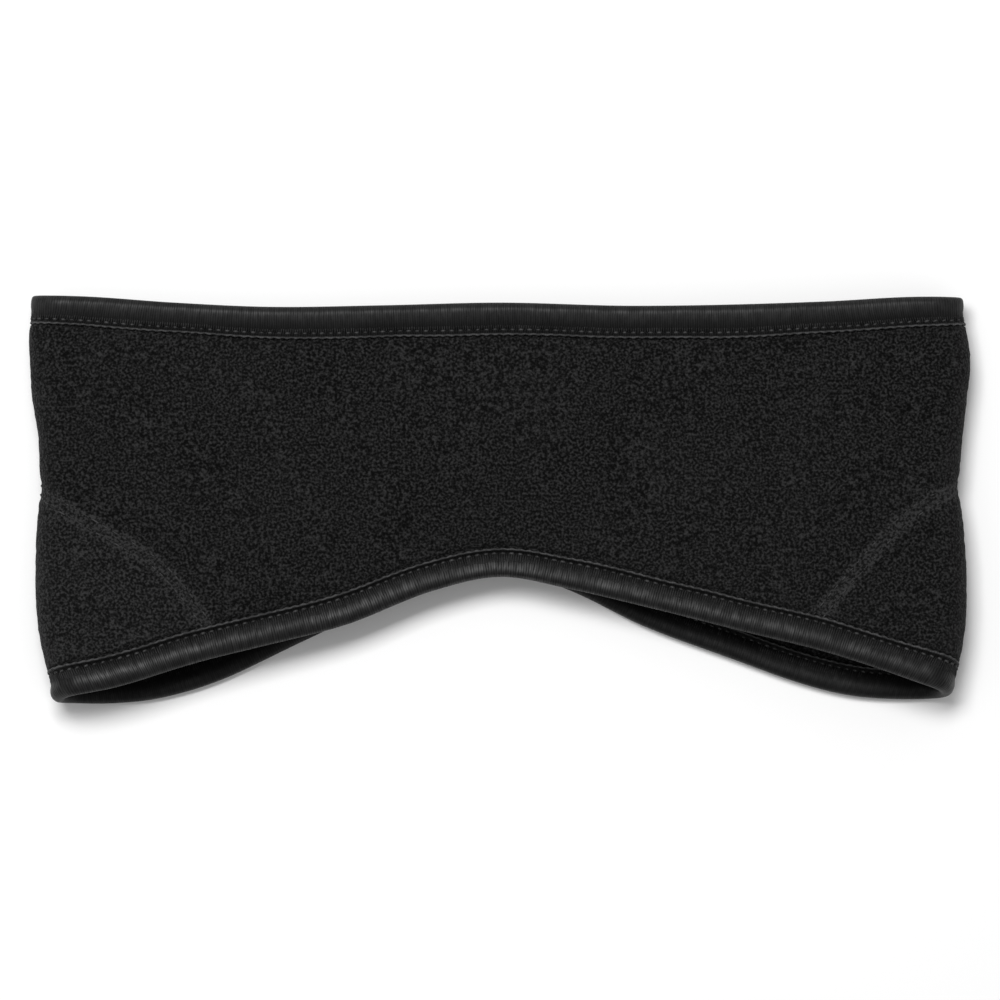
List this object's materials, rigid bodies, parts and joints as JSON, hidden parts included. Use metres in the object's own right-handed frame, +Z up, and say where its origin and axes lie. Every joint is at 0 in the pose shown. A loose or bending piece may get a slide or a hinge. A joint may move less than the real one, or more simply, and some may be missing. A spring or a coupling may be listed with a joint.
{
  "type": "ear warmer headband",
  "caption": "Closed loop of short-nap fleece with bound edges and curved ear panels, lying flat as folded, arched over the brow.",
  "frame": {"origin": "under the middle of the outline, on the surface that the loop lies on", "axes": "+X across the loop from the left fold to the right fold, +Y from the ear lobes to the top edge, +Z up from the back layer to the front layer"},
  "size_m": [0.2501, 0.1086, 0.0187],
  "materials": {
    "fleece": "matt short-nap knitted fleece, black",
    "binding": "smooth stretch knit with a soft sheen, black"
  },
  "bodies": {
    "root": {"main_band": "fleece", "ear_panel_left": "fleece", "ear_panel_right": "fleece", "top_binding": "binding", "bottom_binding": "binding"}
  },
  "joints": []
}
